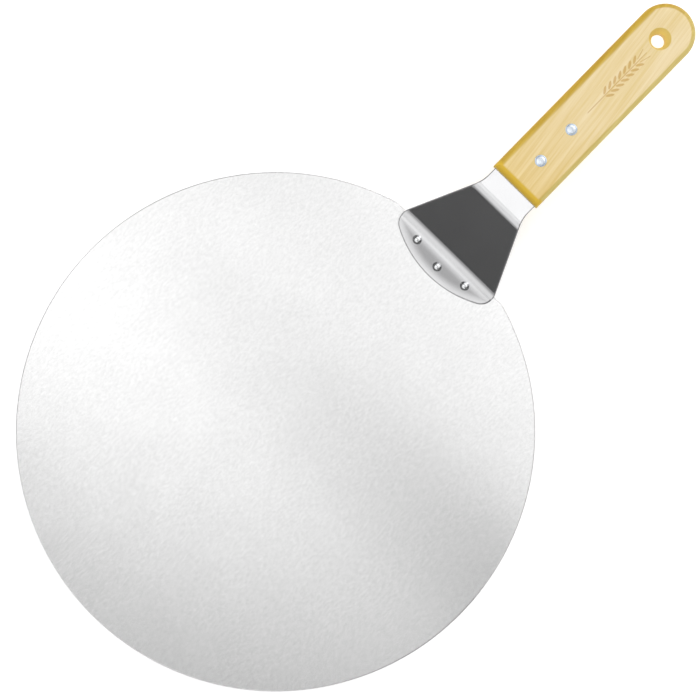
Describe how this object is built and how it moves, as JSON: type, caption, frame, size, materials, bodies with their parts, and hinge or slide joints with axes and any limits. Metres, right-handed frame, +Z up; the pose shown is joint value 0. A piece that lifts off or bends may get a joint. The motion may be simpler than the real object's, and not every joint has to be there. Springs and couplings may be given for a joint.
{
  "type": "pizza peel",
  "caption": "Round stainless steel pizza peel with a riveted, raised neck bracket and a flat wooden handle with a round end and a hanging hole.",
  "frame": {"origin": "centre of the round blade, on the flat underside that rests on the table or oven floor", "axes": "+X from the blade's centre along the handle to its tip, +Z up out of the blade's top face, +Y to the left when looking from the blade to the handle"},
  "size_m": [0.4103, 0.254, 0.0386],
  "materials": {
    "blade_steel": "fine satin, brushed along the handle axis",
    "bracket_steel": "brighter satin than the blade, fine brushing along the handle axis",
    "rivet_steel": "polished",
    "handle_wood": "pale straight-grained hardwood, clear satin finish, deeper gold on the rounded edges and end grain",
    "rivet_aluminium": "dull satin"
  },
  "bodies": {
    "root": {"blade": "blade_steel", "neck_bracket": "bracket_steel", "blade_rivet_left": "rivet_steel", "blade_rivet_centre": "rivet_steel", "blade_rivet_right": "rivet_steel", "handle": "handle_wood", "handle_rivet_front": "rivet_aluminium", "handle_rivet_rear": "rivet_aluminium"}
  },
  "joints": []
}
